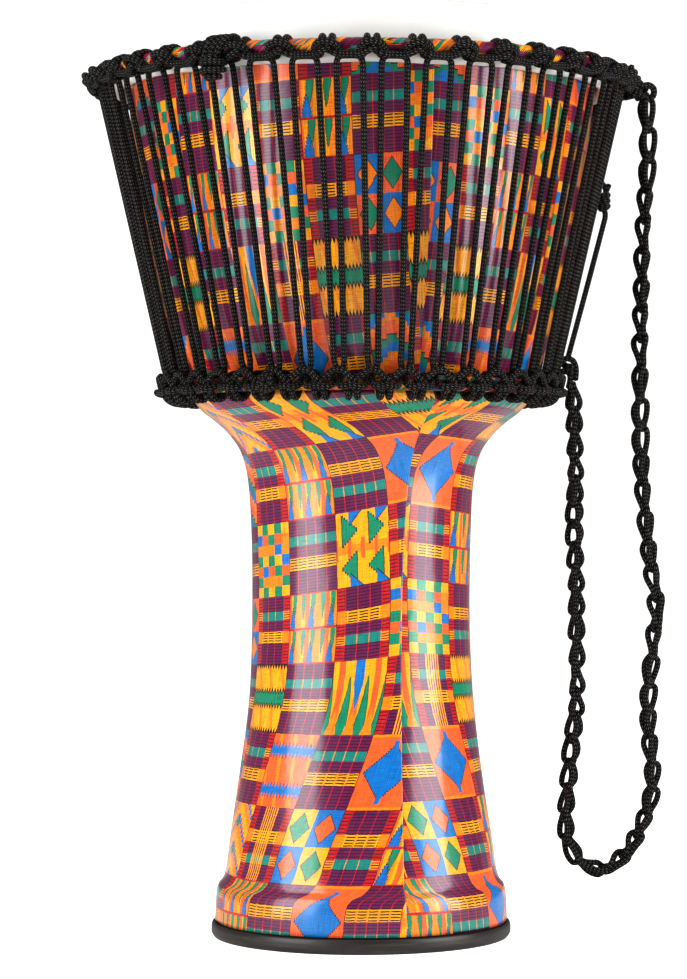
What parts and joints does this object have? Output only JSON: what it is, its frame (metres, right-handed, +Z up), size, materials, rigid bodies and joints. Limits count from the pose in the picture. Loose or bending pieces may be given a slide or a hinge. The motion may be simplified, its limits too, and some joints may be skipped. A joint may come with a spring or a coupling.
{
  "type": "djembe",
  "caption": "Rope-tuned goblet hand drum with a printed-cloth shell, a white head held by laced rings, a rubber foot and a braided carrying strap.",
  "frame": {"origin": "on the ground under the drum's axis, at the bottom centre of the drum without its strap", "axes": "+Z up along the drum's axis towards the head; -Y is the front with the cloth's seam; the strap hangs on the +X side"},
  "size_m": [0.3897, 0.367, 0.61],
  "materials": {
    "moulded_shell": "smooth moulded inside, satin",
    "printed_cloth": "woven strip pattern in orange, yellow, maroon, green and blue under a glossy clear coat",
    "foot_rubber": "satin black",
    "drum_skin": "off-white, lightly grained, matt",
    "ring_steel": "plain drawn bar",
    "black_rope": "braided polyester rope, black with fine grey flecks"
  },
  "bodies": {
    "drum": {"shell": "moulded_shell", "stem_cover": "printed_cloth", "bowl_cover": "printed_cloth", "foot_rim": "foot_rubber", "drumhead": "drum_skin", "lower_ring": "ring_steel", "lower_ring_wrap": "printed_cloth", "lower_loop_rope": "black_rope", "tension_rope": "black_rope", "lower_button_knot": "black_rope", "tail_knot": "black_rope", "tail_rope": "black_rope", "strap": "black_rope", "strap_lower_knot": "black_rope"},
    "crown": {"flesh_hoop": "ring_steel", "crown_ring": "ring_steel", "crown_ring_wrap": "printed_cloth", "upper_loop_rope": "black_rope", "tie_off_knot": "black_rope", "strap_top_knot": "black_rope"}
  },
  "joints": [
    {"name": "tuning_slide", "type": "slide", "parent": "drum", "child": "crown", "axis": [0, 0, -1], "range_m": [0, 0.006], "deforming": ["drumhead", "tension_rope", "strap"]}
  ]
}
